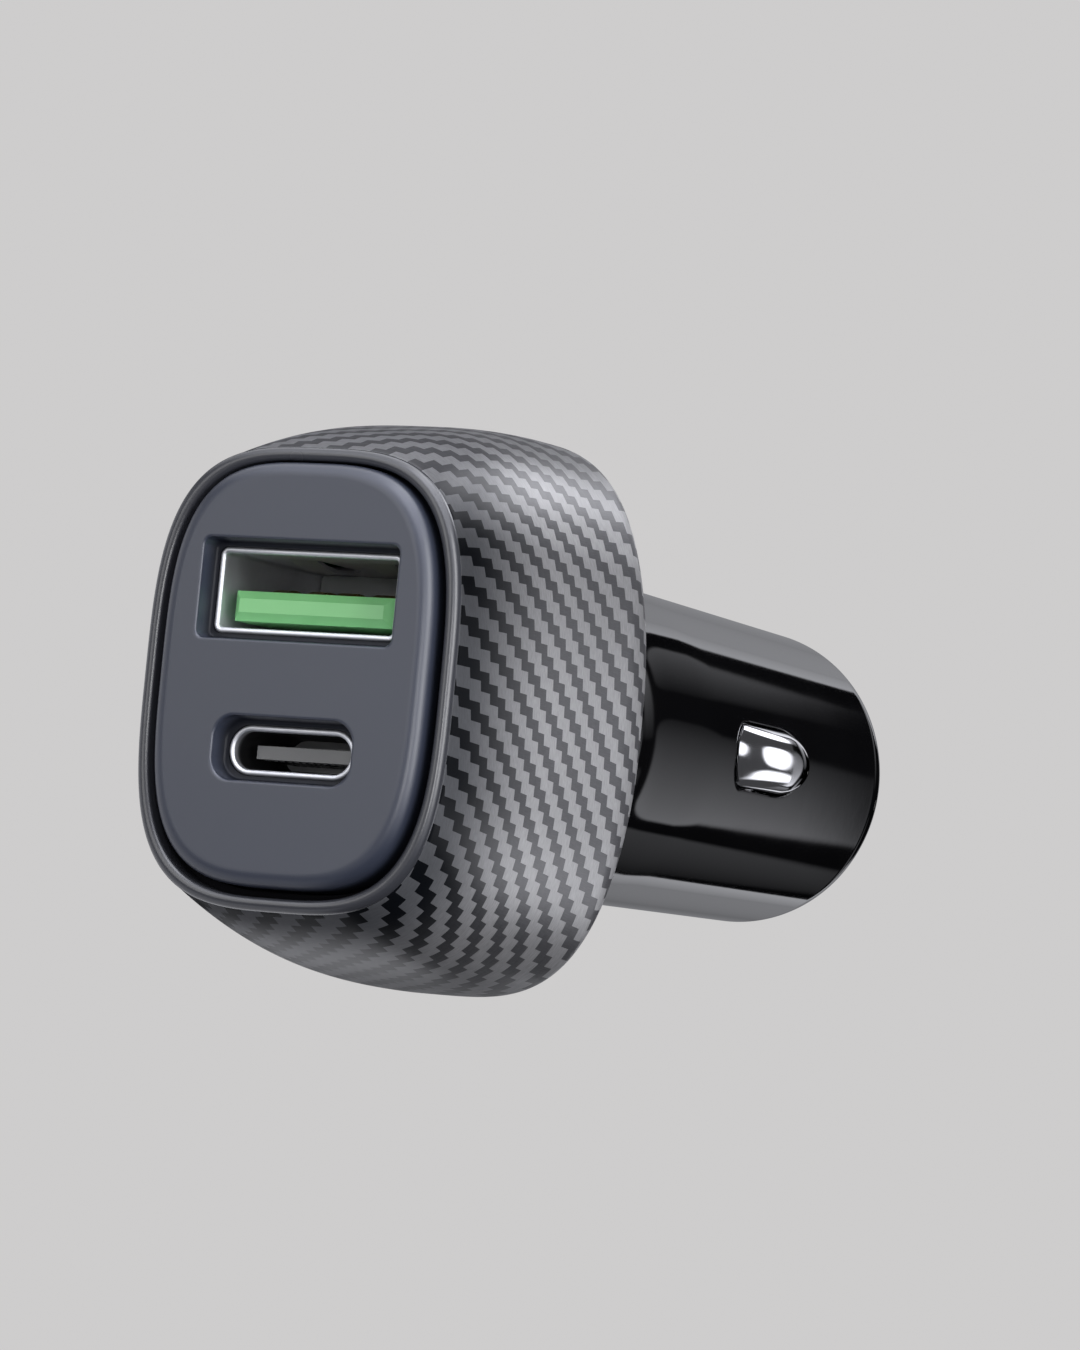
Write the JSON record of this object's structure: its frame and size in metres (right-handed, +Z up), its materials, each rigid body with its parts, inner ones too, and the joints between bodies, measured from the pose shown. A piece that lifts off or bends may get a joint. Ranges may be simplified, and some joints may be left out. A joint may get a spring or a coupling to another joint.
{
  "type": "car usb charger plug",
  "caption": "Plug-in car charger: rounded carbon-look head with a USB-A socket over a USB-C socket, round barrel with sprung side and nose contacts.",
  "frame": {"origin": "centre of the barrel, where its flared root becomes straight, just behind the head", "axes": "+Y along the barrel towards the nose, the face looks along -Y, +Z up with the USB-A socket above the USB-C socket, +X to the right for someone who looks at the face"},
  "size_m": [0.0228, 0.0683, 0.0352],
  "materials": {
    "carbon_film": "glossy clear coat over a black and grey twill weave print",
    "satin_ring": "satin grey",
    "satin_panel": "satin blue-grey",
    "gloss_black": "polished black",
    "nickel": "bright nickel plate",
    "green_insulator": "green moulded insulator",
    "gilt_contact": "thin gold plate",
    "grey_insulator": "dark grey moulded insulator",
    "circuit_board": "green solder mask",
    "brass_cup": "bare brass",
    "spring_steel": "drawn spring wire",
    "nickel_pin": "turned and nickel plated",
    "chrome_contact": "bright plated spring strip",
    "ferrite": "dark sintered ferrite",
    "capacitor_can": "bare aluminium can",
    "chip_black": "black moulding compound",
    "ceramic_body": "pale ceramic",
    "ceramic_tan": "tan ceramic"
  },
  "bodies": {
    "plug": {"head_shell": "carbon_film", "bezel_ring": "satin_ring", "face_panel": "satin_panel", "barrel": "gloss_black", "usb_a_shell": "nickel", "usb_a_tongue": "green_insulator", "usb_a_contacts": "gilt_contact", "usb_c_shell": "nickel", "usb_c_tongue": "grey_insulator", "usb_c_contacts": "gilt_contact", "port_board": "circuit_board", "main_board": "circuit_board", "positive_cup": "brass_cup", "centre_spring": "spring_steel", "power_inductor": "ferrite", "input_capacitor": "capacitor_can", "output_capacitor": "capacitor_can", "converter_chip": "chip_black", "port_chip": "chip_black", "power_transistor": "chip_black", "rectifier_diode": "chip_black", "board_fuse": "ceramic_body", "ceramic_capacitors": "ceramic_tan", "chip_resistors": "chip_black"},
    "nose_contact": {"centre_contact": "nickel_pin"},
    "right_contact": {"side_contact_right": "chrome_contact"},
    "left_contact": {"side_contact_left": "chrome_contact"}
  },
  "joints": [
    {"name": "nose_contact_push", "type": "slide", "parent": "plug", "child": "nose_contact", "axis": [0, -1, 0], "range_m": [0, 0.003], "stiffness_N_per_m": 900, "springref_m": -0.003, "deforming": ["centre_spring"]},
    {"name": "side_contact_right_flex", "type": "hinge", "parent": "plug", "child": "right_contact", "pos_m": [0.00795, 0.0019, 0], "axis": [0, 0, 1], "range_deg": [0, 5], "stiffness_Nm_per_rad": 0.35, "springref_deg": -1.72},
    {"name": "side_contact_left_flex", "type": "hinge", "parent": "plug", "child": "left_contact", "pos_m": [-0.00795, 0.0019, 0], "axis": [0, 0, -1], "range_deg": [0, 5], "stiffness_Nm_per_rad": 0.35, "springref_deg": -1.72}
  ]
}
